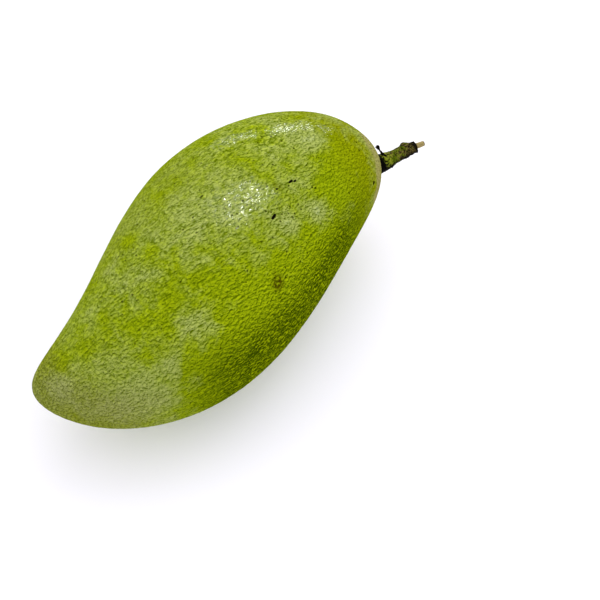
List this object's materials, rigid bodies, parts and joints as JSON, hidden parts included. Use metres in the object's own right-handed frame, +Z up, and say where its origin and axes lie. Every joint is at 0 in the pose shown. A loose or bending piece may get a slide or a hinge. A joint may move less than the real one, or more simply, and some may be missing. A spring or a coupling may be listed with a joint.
{
  "type": "mango",
  "caption": "Long green mango with a beaked apex, lying on its side on a small flat spot, with the short woody stem it was picked with.",
  "frame": {"origin": "middle of the box round the lying fruit and its stem, on the surface it rests on", "axes": "+X towards the stem end, +Y towards the hollow side with the beak, +Z up"},
  "size_m": [0.168, 0.0764, 0.0642],
  "materials": {
    "skin": "waxy, fine pebbled, semi-gloss",
    "bark": "rough, ridged",
    "broken_wood": "raw, matt"
  },
  "bodies": {
    "root": {"fruit": "skin", "stem": "bark", "stem_core": "broken_wood"}
  },
  "joints": []
}
